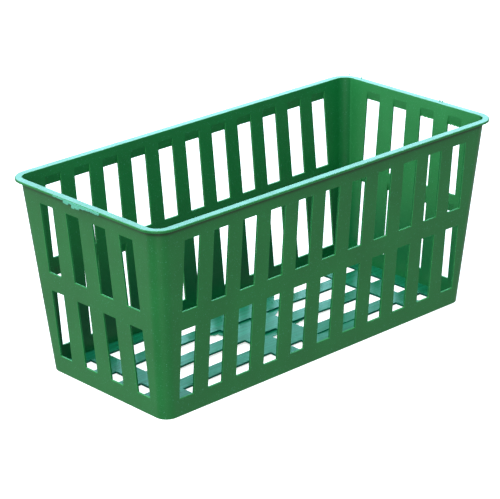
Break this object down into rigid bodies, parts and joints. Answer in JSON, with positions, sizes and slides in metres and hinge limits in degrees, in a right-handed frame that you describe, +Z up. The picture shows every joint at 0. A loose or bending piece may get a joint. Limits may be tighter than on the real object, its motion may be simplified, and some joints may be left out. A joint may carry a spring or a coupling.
{
  "type": "nesting basket",
  "caption": "Open-topped rectangular nest basket with drafted slatted walls, an outward rim flange and a slatted floor, moulded in one piece.",
  "frame": {"origin": "centre of the basket's footprint, on the plane it rests on", "axes": "+X along the long walls, +Y across the basket, +Z up through the open mouth"},
  "size_m": [0.3, 0.1426, 0.131],
  "materials": {
    "moulded_plastic": "smooth green polypropylene, satin gloss"
  },
  "bodies": {
    "root": {"rim_front": "moulded_plastic", "rim_back": "moulded_plastic", "rim_left": "moulded_plastic", "rim_right": "moulded_plastic", "rim_corner_front_left": "moulded_plastic", "rim_corner_front_right": "moulded_plastic", "rim_corner_back_left": "moulded_plastic", "rim_corner_back_right": "moulded_plastic", "corner_post_front_left": "moulded_plastic", "corner_post_front_right": "moulded_plastic", "corner_post_back_left": "moulded_plastic", "corner_post_back_right": "moulded_plastic", "front_bottom_band": "moulded_plastic", "front_lower_slats": "moulded_plastic", "front_mid_band": "moulded_plastic", "front_upper_slats": "moulded_plastic", "front_top_band": "moulded_plastic", "right_bottom_band": "moulded_plastic", "right_lower_slats": "moulded_plastic", "right_mid_band": "moulded_plastic", "right_upper_slats": "moulded_plastic", "right_top_band": "moulded_plastic", "back_bottom_band": "moulded_plastic", "back_lower_slats": "moulded_plastic", "back_mid_band": "moulded_plastic", "back_upper_slats": "moulded_plastic", "back_top_band": "moulded_plastic", "left_bottom_band": "moulded_plastic", "left_lower_slats": "moulded_plastic", "left_mid_band": "moulded_plastic", "left_upper_slats": "moulded_plastic", "left_top_band": "moulded_plastic", "floor_border_front": "moulded_plastic", "floor_border_back": "moulded_plastic", "floor_border_left": "moulded_plastic", "floor_border_right": "moulded_plastic", "floor_long_bar_front": "moulded_plastic", "floor_long_bar_middle": "moulded_plastic", "floor_long_bar_back": "moulded_plastic", "floor_cross_bar_left_end": "moulded_plastic", "floor_cross_bar_left_middle": "moulded_plastic", "floor_cross_bar_right_middle": "moulded_plastic", "floor_cross_bar_right_end": "moulded_plastic"}
  },
  "joints": []
}
